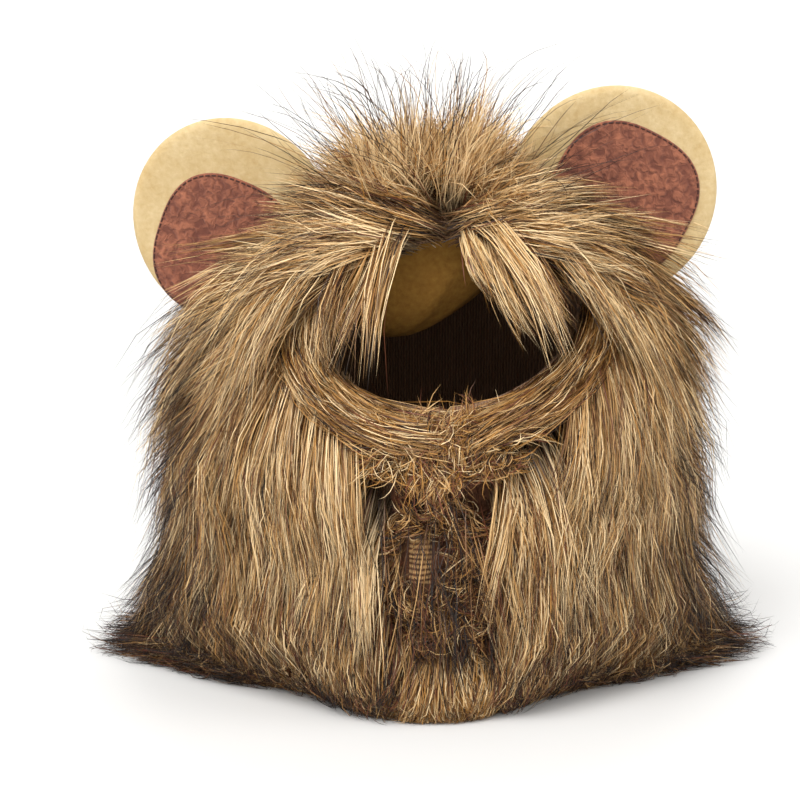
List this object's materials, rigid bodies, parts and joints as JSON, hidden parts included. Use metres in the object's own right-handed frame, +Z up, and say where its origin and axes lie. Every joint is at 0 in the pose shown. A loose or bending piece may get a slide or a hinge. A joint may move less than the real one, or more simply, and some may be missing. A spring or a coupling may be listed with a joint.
{
  "type": "pet lion hood",
  "caption": "Faux fur lion mane worn as a hood by a small pet, with a face opening, padded round ears and an open neck.",
  "frame": {"origin": "under the middle of the whole hood, on the ground it stands on", "axes": "+Z up, the face looks along -Y, +X is the picture's right"},
  "size_m": [0.241, 0.2194, 0.2262],
  "materials": {
    "mane_fur": "long pile faux fur, beige and brown with dark tips",
    "matted_fur": "matted brown pile",
    "lining_cloth": "tan brushed cloth",
    "ear_plush": "tan short plush",
    "patch_boucle": "red-brown boucle"
  },
  "bodies": {
    "root": {"mane": "mane_fur", "chin_flap": "matted_fur", "crown_lining": "lining_cloth", "ear_left": "ear_plush", "ear_right": "ear_plush", "ear_patch_left": "patch_boucle", "ear_patch_right": "patch_boucle"}
  },
  "joints": []
}
